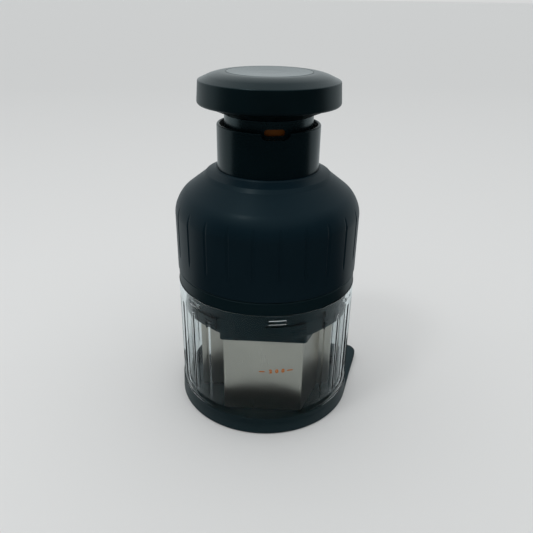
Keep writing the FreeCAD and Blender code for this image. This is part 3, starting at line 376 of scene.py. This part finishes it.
def round_ring(piece, before, here, after):
    """Round one corner of a turned outline, in more steps where the rounding is longer."""
    radius, level, size = here
    if not size:
        return
    into = math.atan2(level - before[1], radius - before[0])
    out = math.atan2(after[1] - level, after[0] - radius)
    bend = abs((out - into + math.pi) % math.tau - math.pi)
    select_edges(piece, lambda *ends: all(on_ring(end, radius, level) for end in ends))
    steps = max(FEWEST_STEPS, min(MOST_STEPS, round(size * bend * ARC_STEPS)))
    bpy.ops.mesh.bevel(
        offset_type="OFFSET", offset=size * MM * math.tan(bend / 2), segments=steps,
        affect="EDGES", clamp_overlap=False)


def on_ring(point, radius, level):
    slack = 0.004
    return (abs(math.hypot(point.x, point.y) - radius) < slack
            and abs(point.z - level) < slack)


def block(name, low, high):
    """A box between two corners in millimetres."""
    deselect_all()
    bpy.ops.mesh.primitive_cube_add(size=1, location=[(a + b) / 2 * MM for a, b in zip(low, high)])
    piece = bpy.context.object
    piece.name = name
    piece.scale = [(b - a) * MM for a, b in zip(low, high)]
    bpy.ops.object.transform_apply(location=True, rotation=True, scale=True)
    return piece


def round_some(piece, size, segments, wanted):
    """Round those edges of a piece whose middle, in millimetres, passes the test."""
    edit(piece)
    select_edges(piece, lambda start, end: wanted((start + end) / 2))
    bpy.ops.mesh.bevel(
        offset_type="OFFSET", offset=size * MM, segments=segments, affect="EDGES",
        clamp_overlap=False)
    bpy.ops.object.mode_set(mode="OBJECT")


def joined(*pieces):
    pick(*pieces)
    bpy.ops.object.join()
    bpy.ops.object.transform_apply(location=True, rotation=True, scale=True)
    return pieces[0]


def around(piece, count):
    """Copies of a piece at even steps about the axis, joined into one object."""
    copies = []
    for step in range(count):
        copy = piece.copy()
        copy.data = piece.data.copy()
        bpy.context.collection.objects.link(copy)
        copy.matrix_world = Matrix.Rotation(math.radians(360 * step / count), 4, "Z")
        copies.append(copy)
    bpy.data.objects.remove(piece)
    return joined(*copies)


def modify(piece, kind, **settings):
    """Add a modifier to the piece and apply it."""
    pick(piece)
    change = piece.modifiers.new(kind.title(), kind)
    for name, value in settings.items():
        setattr(change, name, value)
    bpy.ops.object.modifier_apply(modifier=change.name)


def carve(piece, cutter, operation="DIFFERENCE"):
    modify(piece, "BOOLEAN", operation=operation, object=cutter, solver="EXACT")
    bpy.data.objects.remove(cutter)


def wrapped(piece, radius):
    """Bend a flat piece round the axis: what stands at Y 0 comes to lie at the radius."""
    for corner in piece.data.vertices:
        angle = corner.co.x / (radius * MM)
        reach = radius * MM - corner.co.y
        corner.co = (math.sin(angle) * reach, -math.cos(angle) * reach, corner.co.z)


def round_edges(piece, size, angle=35.0):
    """Round the sharp edges of a piece a little, so that they catch the light."""
    modify(piece, "BEVEL", width=size * MM, segments=2, limit_method="ANGLE",
           angle_limit=math.radians(angle), use_clamp_overlap=True)


def tidy(piece):
    """Merge what lies together and point every face outwards."""
    edit(piece)
    bpy.ops.mesh.remove_doubles(threshold=0.0005 * MM)
    bpy.ops.mesh.normals_make_consistent(inside=False)
    bpy.ops.object.mode_set(mode="OBJECT")


def seat(piece, slot, *nodes, smooth=32.0):
    """Finish a piece: smooth shading, the finish of its slot, and the nodes that it stands for.

    Large faces keep their own direction, and the small faces of a rounding turn between them.
    """
    pick(piece)
    bpy.ops.object.shade_smooth_by_angle(angle=math.radians(smooth))
    modify(piece, "WEIGHTED_NORMAL", keep_sharp=True)
    piece.data.materials.clear()
    piece.data.materials.append(bpy.data.materials[slot])
    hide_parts(*nodes)
    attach(piece, body_of(nodes[0]))


def body_of(node):
    bodies = frame["record"]["behaviour"]["bodies"]
    return next(body for body, members in bodies.items() if node in members)


def softened(name, node, size):
    """A copy of a frame's node with its sharp edges rounded."""
    source = frame["nodes"][node]
    piece = source.copy()
    piece.data = source.data.copy()
    for key in list(piece.keys()):
        del piece[key]
    piece.parent = None
    piece.name = name
    bpy.context.collection.objects.link(piece)
    edit(piece)
    bpy.ops.mesh.customdata_custom_splitnormals_clear()
    bpy.ops.mesh.remove_doubles(threshold=0.002 * MM)
    bpy.ops.mesh.dissolve_limited(angle_limit=math.radians(0.4))
    bpy.ops.object.mode_set(mode="OBJECT")
    round_edges(piece, size)
    return piece


# ---- Operators -----------------------------------------------------------------------------

class CHOPPER_OT_finishes(bpy.types.Operator):
    """Give every piece of the frame the finish of its slot, but the steel rivets a near-black one
    as painted dark reflection
    """
    bl_idname = "chopper.finishes"
    bl_label = "Finishes"

    def execute(self, context):
        for plain in list(bpy.data.materials):
            bpy.data.materials.remove(plain)
        make_materials(context.scene.chopper_colours)
        for part in frame["record"]["subparts"]:
            # The steel rivets get a near-black, non-metal finish instead of their slot's steel:
            # painted dark reflection
            rivet_painted_dark = part["node"] == "blade_rivets"
            finish = "black_steel" if rivet_painted_dark else part["material_slot"]
            slots = frame["nodes"][part["node"]].data.materials
            slots.clear()
            slots.append(bpy.data.materials[finish])
        return {"FINISHED"}


class CHOPPER_OT_grip(bpy.types.Operator):
    """Soft skin of the housing, with upright grooves that run out on the shoulder"""
    bl_idname = "chopper.grip"
    bl_label = "Grip"

    GROOVE_COUNT = 24
    # Centre of the shoulder's bend, from the axis and in height, in millimetres
    BEND_RADIUS, BEND_LEVEL = 31.0, 103.5
    # How far along the bend the grooves go, in degrees and in the steps of their cutting bar, and
    # the share of it after which they fade
    BEND_ANGLE, BEND_STEPS, FADE = 40.0, 8, 0.55
    # How far the cutting bar stands clear of the skin at its ends, in groove depths
    CLEAR = 1.2
    # The bar's lower end: its distance from the groove in groove depths, and its height
    LOWER_END = ((CLEAR, 83.0), (0.3, 84.6), (0.0, 86.6), (0.0, 95.0))

    def execute(self, context):
        grip = turned("grip_skin", [
            # Foot of the barrel
            (43.0, 75.0, 0),
            (BARREL, 75.0, 0.6),
            # Shoulder
            (BARREL, 110.3, 14.0),
            # Shelf round the collar, and its edge
            (31.1, 121.05, 1.0),
            (29.5, 122.75, 1.2),
            (25.5, 124.3, 0),
            (25.0, 125.1, 0.3),
            (24.15, 125.1, 0),
            # Underside, on the shell
            (24.15, 122.95, 0),
            (25.55, 122.95, 0),
            (43.0, 110.18, 12.0),
        ], segments=240)
        carve(grip, around(self.bar(context.scene.chopper_sizes), self.GROOVE_COUNT))
        tidy(grip)
        seat(grip, "grip_rubber", "housing_grip", smooth=50.0)
        return {"FINISHED"}

    def bar(self, sizes):
        """A round bar along the front of the barrel and over its shoulder, which leaves the skin
        at both ends, so that the groove runs out."""
        half = sizes.groove_width / 2 / MM
        depth = sizes.groove_depth / MM
        thick = (half * half + depth * depth) / (2 * depth)
        reach = BARREL + thick - depth
        path = [(reach + depth * clear, level) for clear, level in self.LOWER_END]
        for step in range(self.BEND_STEPS + 1):
            share = step / self.BEND_STEPS
            angle = math.radians(self.BEND_ANGLE * share)
            lift = depth * self.CLEAR * max(0.0, share - self.FADE) / (1 - self.FADE)
            out = reach - self.BEND_RADIUS + lift
            path.append((
                self.BEND_RADIUS + out * math.cos(angle), self.BEND_LEVEL + out * math.sin(angle)))
        deselect_all()
        bpy.ops.mesh.primitive_circle_add(
            vertices=20, radius=thick * MM, fill_type="NGON",
            location=(0, -path[0][0] * MM, path[0][1] * MM))
        piece = bpy.context.object
        piece.name = "groove"
        bpy.ops.object.transform_apply(location=True, rotation=True, scale=True)
        edit(piece)
        heading = 0.0
        for before, here, after in zip(path, path[1:], path[2:] + [None]):
            step = (0, (before[0] - here[0]) * MM, (here[1] - before[1]) * MM)
            bpy.ops.mesh.extrude_region_move(TRANSFORM_OT_translate={"value": step})
            ahead = after or (2 * here[0] - before[0], 2 * here[1] - before[1])
            lean = math.atan2(before[0] - ahead[0], ahead[1] - before[1])
            bpy.ops.transform.rotate(
                value=heading - lean, orient_axis="X", constraint_axis=(True, False, False),
                center_override=(0, -here[0] * MM, here[1] * MM))
            heading = lean
        bpy.ops.mesh.select_all(action="SELECT")
        bpy.ops.mesh.normals_make_consistent(inside=False)
        bpy.ops.object.mode_set(mode="OBJECT")
        return piece


class CHOPPER_OT_cup(bpy.types.Operator):
    """Clear cup: sunk panels between narrow ribs, a smooth front window, and lugs inside"""
    bl_idname = "chopper.cup"
    bl_label = "Cup"

    # Heights in millimetres of the panels' lower and upper end, and of the slope at each
    FOOT, HEAD, SLOPE = 13.0, 60.2, 0.6
    # Radius in millimetres of the panels' lower corners
    CORNER = 4.6
    # Degrees from rib to rib, from a rib's middle to its side, and from the front to a side of
    # the window
    PITCH, RIB, WINDOW = 15.0, 1.0, 30.0
    # Two opposite corners of the front lug in millimetres, and the rounding of its inner edges
    LUG, LUG_ROUNDING = ((-4.0, -42.9, 62.5), (4.0, -41.1, 64.6)), 0.35

    def execute(self, context):
        sunk = BARREL - context.scene.chopper_sizes.panel_depth / MM
        cup = turned("cup_clear", [
            # Foot in the tray, with the groove of its seal
            (42.2, 3.3, 0.3),
            (43.5, 3.3, 0.3),
            (43.5, 4.7, 0),
            (42.8, 4.7, 0),
            (42.8, 6.1, 0),
            (43.5, 6.1, 0),
            # Step over the tray's rim
            (43.5, 7.98, 0),
            (BARREL, 7.98, 0),
            # Panels
            (BARREL, self.FOOT, 0),
            (sunk, self.FOOT + self.SLOPE, 0),
            (sunk, self.HEAD - self.SLOPE, 0),
            (BARREL, self.HEAD, 0),
            # Rim
            (BARREL, 68.4, 0.15),
            (42.2, 68.4, 0.1),
        ], segments=480)
        self.leave_ribs(cup, sunk)
        lug = block("lug", *self.LUG)
        round_some(lug, self.LUG_ROUNDING, 3, lambda middle: middle.y > -41.5)
        carve(cup, around(lug, LUG_COUNT), "UNION")
        tidy(cup)
        seat(cup, "clear_plastic", "cup", smooth=42.0)
        return {"FINISHED"}

    def leave_ribs(self, cup, sunk):
        """Move the sunk wall back out between the panels and across the window, and raise the
        foot of each panel at its two lower corners."""
        slack = 0.01
        half = self.PITCH / 2 - self.RIB
        wide = math.radians(half) * BARREL
        for corner in cup.data.vertices:
            point = corner.co / MM
            radius = math.hypot(point.x, point.y)
            turn = math.degrees(math.atan2(point.x, -point.y))
            aside = abs(turn % self.PITCH - self.PITCH / 2)
            if radius < sunk - slack or not self.FOOT - slack < point.z < self.HEAD + slack:
                continue
            if aside > half or abs(turn) < self.WINDOW:
                corner.co.x *= BARREL / radius
                corner.co.y *= BARREL / radius
            elif point.z < self.FOOT + self.SLOPE + slack:
                near = max(0.0, math.radians(aside) * BARREL - wide + self.CORNER)
                corner.co.z += (self.CORNER - math.sqrt(self.CORNER ** 2 - near ** 2)) * MM


class CHOPPER_OT_knob(bpy.types.Operator):
    """Mushroom knob: flared underside, drafted side, rounded crown and a dished cap"""
    bl_idname = "chopper.knob"
    bl_label = "Knob"

    def execute(self, context):
        under = turned("knob_under", [
            # Hub and cone
            (8.6, 150.0, 0),
            (20.6, 150.0, 0.4),
            (30.8, 154.1, 0),
            # Spigot in the cover
            (30.8, 158.9, 0),
            (28.8, 158.9, 0),
            (28.8, 156.5, 0),
            # Upper face
            (20.6, 153.6, 0),
            (8.6, 153.6, 0),
        ])
        seat(under, "knob_plastic", "knob_base")
        cover = turned("knob_crown", [
            # Side
            (30.9, 154.1, 0.1),
            (32.9, 154.1, 1.2),
            (32.15, 164.3, 0.6),
            # Crown
            (24.6, 167.72, 18.0),
            (19.75, 167.75, 0.15),
            # Seat of the cap, and the well of the screws
            (19.45, 167.5, 0),
            (19.45, 166.4, 0),
            (15.0, 166.4, 0),
            (15.0, 155.6, 0),
            (8.6, 155.6, 0),
            (8.6, 153.6, 0),
            # Inside
            (17.0, 153.6, 0),
            (17.0, 164.4, 0),
            (21.5, 164.4, 0),
            (30.9, 161.9, 0),
        ])
        seat(cover, "knob_plastic", "knob_cover", smooth=40.0)
        cap = turned("knob_dish", [
            # Seat and rim
            (0, 166.4, 0),
            (19.35, 166.4, 0),
            (19.35, 167.8, 0.2),
            # Dish
            (18.6, 167.75, 0.6),
            (6.0, 167.42, 14.0),
            (0, 167.38, 0),
        ])
        seat(cap, "cap_plastic", "knob_cap", smooth=40.0)
        return {"FINISHED"}


class CHOPPER_OT_collar(bpy.types.Operator):
    """Glossy collar round the stem, notched in front of the lock window"""
    bl_idname = "chopper.collar"
    bl_label = "Collar"

    # Two opposite corners of the notch in millimetres, and the rounding of its lower edges
    NOTCH, NOTCH_ROUNDING = ((-6.4, -26.0, 142.5), (6.4, -19.0, 148.3)), 2.8

    def execute(self, context):
        collar = turned("neck_ring", [
            # Spigot in the dome
            (21.9, 115.0, 0),
            (23.3, 115.0, 0),
            (23.3, 122.9, 0),
            # Outside and lip
            (24.1, 122.9, 0),
            (24.1, 145.4, 0.7),
            (22.8, 145.4, 0.4),
            (22.5, 143.6, 0),
            (21.9, 142.6, 0),
        ])
        notch = block("notch", *self.NOTCH)
        round_some(
            notch, self.NOTCH_ROUNDING, 10, lambda middle: abs(middle.x) > 6 and middle.z < 143)
        carve(collar, notch)
        tidy(collar)
        round_edges(collar, 0.2, angle=40.0)
        seat(collar, "collar_plastic", "neck_collar")
        return {"FINISHED"}


class CHOPPER_OT_housing(bpy.types.Operator):
    """Hard shell, tray, stem and blade carrier with their edges rounded"""
    bl_idname = "chopper.housing"
    bl_label = "Housing and tray"

    # In millimetres: the skirt's radius, the heights of the two lines beside each lug, their width
    # and depth, and how far round the skirt from the lug's middle they start and end
    SKIRT = 41.8
    LINES, LINE_WIDTH, LINE_DEPTH = (57.0, 58.9), 0.5, 0.5
    LINE_START, LINE_END = 6.6, 26.3

    def execute(self, context):
        shell = softened("housing_body", "housing_shell", 0.25)
        for level in self.LINES:
            carve(shell, self.cutters(level))
        tidy(shell)
        seat(shell, "shell_plastic", "housing_shell")
        tray = softened("tray_body", "base_tray", 0.45)
        # A thin lip that covers the foot of the cup's wall
        lip = turned("lip", [
            (45.28, 6.6, 0),
            (45.28, 9.2, 0.06),
            (45.53, 9.2, 0.1),
            (45.55, 6.6, 0),
        ])
        seat(joined(tray, lip), "tray_plastic", "base_tray")
        seat(softened("stem_body", "plunger_stem", 0.15), "stem_plastic", "plunger_stem")
        seat(softened("carrier_body", "blade_carrier", 0.25), "carrier_plastic", "blade_carrier")
        return {"FINISHED"}

    def cutters(self, level):
        """Thin bars that lie in the skirt and stand out of it a little, one beside each lug."""
        low, high = level - self.LINE_WIDTH / 2, level + self.LINE_WIDTH / 2
        bar = block("line", (self.LINE_START, -0.6, low), (self.LINE_END, self.LINE_DEPTH, high))
        edit(bar)
        bpy.ops.mesh.subdivide(number_cuts=9)
        bpy.ops.object.mode_set(mode="OBJECT")
        wrapped(bar, self.SKIRT)
        return around(bar, LUG_COUNT)


class CHOPPER_OT_fill_mark(bpy.types.Operator):
    """Fill mark printed on the front window: a number between two dashes"""
    bl_idname = "chopper.fill_mark"
    bl_label = "Fill mark"

    # In millimetres: the number's place, the dashes' height and thickness, and where each ends
    NUMBER_X, LEVEL = -0.2, 38.0
    DASH_HEIGHT, PRINT_THICKNESS = 0.64, 0.001
    DASHES = ((-8.7, -6.0), (4.7, 7.6))
    # How far the print stands off the cup's wall
    STANDOFF = 0.03

    def execute(self, context):
        deselect_all()
        bpy.ops.object.text_add(rotation=(math.radians(90), 0, 0))
        number = context.object
        number.data.body = "200"
        number.data.size = 2.7 * MM
        number.data.offset = 0.2 * MM
        number.data.space_character = 2.2
        number.data.align_x = "CENTER"
        number.data.align_y = "CENTER"
        bpy.ops.object.convert(target="MESH")
        number.location = (self.NUMBER_X * MM, 0, self.LEVEL * MM)
        low, high = (self.LEVEL + side * self.DASH_HEIGHT / 2 for side in (-1, 1))
        dashes = [block("dash", (left, -self.PRINT_THICKNESS, low), (right, 0, high))
                  for left, right in self.DASHES]
        mark = joined(number, *dashes)
        mark.name = "fill_mark"
        wrapped(mark, BARREL + self.STANDOFF)
        mark.data.materials.clear()
        mark.data.materials.append(bpy.data.materials["mark_print"])
        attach(mark, "cup")
        return {"FINISHED"}


class CHOPPER_OT_stage(bpy.types.Operator):
    """Pale table, soft lights and the camera"""
    bl_idname = "chopper.stage"
    bl_label = "Stage"

    # Camera: degrees round the axis, below level and of roll, and its lens in frame widths
    CAMERA_TURN, CAMERA_DROP, CAMERA_ROLL = -7.5, 26.23, 0.93
    CAMERA_SENSOR, CAMERA_LENS = 36.0, 547.0 / 533.0
    # The sky's soft light: its turn about X and its width, both in degrees, and its strength
    SKY_LEAN, SKY_SPREAD, SKY_STRENGTH = -4.0, 110.0, 1.9
    # The small lamp that gives the highlights: its place, the point that it faces and its size,
    # all in metres, and its power in watts
    LAMP_PLACE, LAMP_TARGET = (-0.286, -0.19, 0.74), (0, -0.03, 0.12)
    LAMP_SIZE, LAMP_POWER = 0.1, 0.6
    # Light from all round, and how bright the backdrop is beside the table
    FILL_COLOUR, FILL_STRENGTH = (0.98, 1.0, 1.0, 1.0), 0.28
    BACKDROP_SHARE = 0.9
    # How much darker and cooler reflections see table and backdrop
    MIRROR_TINT = (0.87, 0.94, 0.96)
    # The table's width, and the line behind the chopper from which painted shade dims it to both
    # sides, as the light falls off: the distances where that starts and ends, all in metres, and
    # the share of its colour that is left
    TABLE_SIZE, TABLE_LINE, TABLE_FADE, TABLE_FAR = 120.0, 0.12, (0.05, 1.0), 0.925
    # The dark card, in metres: inner radius, height over the table, its wall, and its back edge
    CARD_RADIUS, CARD_LIFT, CARD_WALL, CARD_BACK = 0.054, 0.0006, 2.2, 0.03
    # How many times its inner radius the card's outer radius is
    CARD_SPREAD = 55

    def execute(self, context):
        table_colour = tuple(context.scene.chopper_colours.table)
        self.table(table_colour)
        self.dark_card()
        self.studio(context, tuple(self.BACKDROP_SHARE * part for part in table_colour))
        bpy.ops.object.light_add(type="SUN", rotation=(math.radians(self.SKY_LEAN), 0, 0))
        sky = context.object
        sky.data.angle = math.radians(self.SKY_SPREAD)
        sky.data.energy = self.SKY_STRENGTH
        sky.visible_glossy = False
        bpy.ops.object.light_add(type="AREA", location=self.LAMP_PLACE)
        lamp = context.object
        back = Vector(self.LAMP_PLACE) - Vector(self.LAMP_TARGET)
        lamp.rotation_euler = back.to_track_quat("Z", "Y").to_euler()
        lamp.data.size = self.LAMP_SIZE
        lamp.data.energy = self.LAMP_POWER
        self.camera(context)
        return {"FINISHED"}

    def mirrored(self, colour):
        return tuple(part * tint for part, tint in zip(colour, self.MIRROR_TINT))

    def table(self, colour):
        """Paper whose colour dims a little with distance: painted shade for the light's falloff.
        Reflections see it darker and cooler.
        """
        deselect_all()
        bpy.ops.mesh.primitive_plane_add(size=self.TABLE_SIZE, location=(0, 0, 0))
        table = bpy.context.object
        table.name = "table"
        finish = Finish("table")
        # Painted shade: the table's colour dims away from a line behind the chopper, where the
        # light falls off
        away = abs(finish.along(1) - self.TABLE_LINE)
        painted_falloff_colour = tuple(self.TABLE_FAR * part for part in colour)
        paper_with_painted_falloff = finish.blend(finish.ramp(away, *self.TABLE_FADE), colour, painted_falloff_colour)
        table.data.materials.append(finish.surface(
            Base_Color=finish.blend(finish.ray("Glossy"), paper_with_painted_falloff, self.mirrored(colour)),
            Roughness=0.9,
            Specular_IOR_Level=0.1,
        ))

    def dark_card(self):
        """A dark half ring on the table in front of the chopper and a wall at its edge, seen only
        by reflections, which keep the front of the black plastic deep."""
        middle = (0, 0, self.CARD_LIFT)
        bpy.ops.mesh.primitive_circle_add(vertices=96, radius=self.CARD_RADIUS, location=middle)
        card = bpy.context.object
        card.name = "dark_card"
        edit(card)
        spread = (self.CARD_SPREAD, self.CARD_SPREAD, 1)
        bpy.ops.mesh.extrude_region_move(TRANSFORM_OT_translate={"value": (0, 0, 0)})
        bpy.ops.transform.resize(value=spread, center_override=middle)
        bpy.ops.mesh.extrude_region_move(TRANSFORM_OT_translate={"value": (0, 0, self.CARD_WALL)})
        bpy.ops.mesh.select_all(action="SELECT")
        bpy.ops.mesh.bisect(plane_co=(0, self.CARD_BACK, 0), plane_no=(0, 1, 0), clear_outer=True)
        bpy.ops.object.mode_set(mode="OBJECT")
        card.data.materials.append(Finish("dark_card").surface(
            Base_Color=(0.02, 0.02, 0.02, 1.0), Roughness=1.0, Specular_IOR_Level=0.0))
        card.visible_camera = False
        card.visible_diffuse = False
        card.visible_transmission = False
        card.visible_shadow = False

    def studio(self, context, backdrop):
        """Soft light from all round. The camera, reflections and glass see the backdrop."""
        world = bpy.data.worlds.new("studio")
        world.use_nodes = True
        nodes = Nodes(world.node_tree)
        light = world.node_tree.nodes["Background"]
        light.inputs["Color"].default_value = self.FILL_COLOUR
        light.inputs["Strength"].default_value = self.FILL_STRENGTH
        glossy = nodes.ray("Glossy")
        seen = nodes.node("ShaderNodeBackground", {}, {
            "Color": nodes.blend(glossy, backdrop, self.mirrored(backdrop))})
        sees = nodes.ray("Camera").larger(glossy).larger(nodes.ray("Transmission"))
        mix = nodes.node(
            "ShaderNodeMixShader", {}, {0: sees, 1: Wire(nodes, light.outputs[0]), 2: seen})
        nodes.feed(world.node_tree.nodes["World Output"].inputs["Surface"], mix)
        context.scene.world = world

    def camera(self, context):
        sizes = context.scene.chopper_sizes
        turn = math.radians(self.CAMERA_TURN)
        reach = sizes.camera_distance
        spot = Vector((math.sin(turn) * reach, -math.cos(turn) * reach, sizes.camera_height))
        aim = (
            Matrix.Rotation(turn, 4, "Z")
            @ Matrix.Rotation(math.radians(90 - self.CAMERA_DROP), 4, "X")
            @ Matrix.Rotation(math.radians(self.CAMERA_ROLL), 4, "Z")
        )
        bpy.ops.object.camera_add()
        camera = context.object
        camera.data.sensor_width = self.CAMERA_SENSOR
        camera.data.lens = self.CAMERA_SENSOR * self.CAMERA_LENS
        camera.matrix_world = Matrix.Translation(spot) @ aim
        context.scene.camera = camera
        context.scene.view_settings.view_transform = "Standard"


class CHOPPER_PT_panel(bpy.types.Panel):
    """Buttons for the chopper's pieces"""
    bl_idname = "CHOPPER_PT_panel"
    bl_label = "Plunger food chopper"
    bl_space_type = "VIEW_3D"
    bl_region_type = "UI"
    bl_category = "Chopper"

    def draw(self, context):
        for operator in OPERATORS:
            self.layout.operator(operator.bl_idname)
        for group in (context.scene.chopper_sizes, context.scene.chopper_colours):
            for name in group.bl_rna.properties.keys():
                if name not in ("rna_type", "name"):
                    self.layout.prop(group, name)


OPERATORS = (
    CHOPPER_OT_finishes,
    CHOPPER_OT_grip,
    CHOPPER_OT_cup,
    CHOPPER_OT_knob,
    CHOPPER_OT_collar,
    CHOPPER_OT_housing,
    CHOPPER_OT_fill_mark,
    CHOPPER_OT_stage,
)
CLASSES = (ChopperSizes, ChopperColours, *OPERATORS, CHOPPER_PT_panel)


def register():
    for item in CLASSES:
        bpy.utils.register_class(item)
    bpy.types.Scene.chopper_sizes = PointerProperty(type=ChopperSizes)
    bpy.types.Scene.chopper_colours = PointerProperty(type=ChopperColours)


def unregister():
    del bpy.types.Scene.chopper_colours
    del bpy.types.Scene.chopper_sizes
    for item in reversed(CLASSES):
        bpy.utils.unregister_class(item)


def main():
    register()
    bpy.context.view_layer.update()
    for operator in OPERATORS:
        group, name = operator.bl_idname.split(".")
        getattr(getattr(bpy.ops, group), name)()


if __name__ == "__main__":
    main()
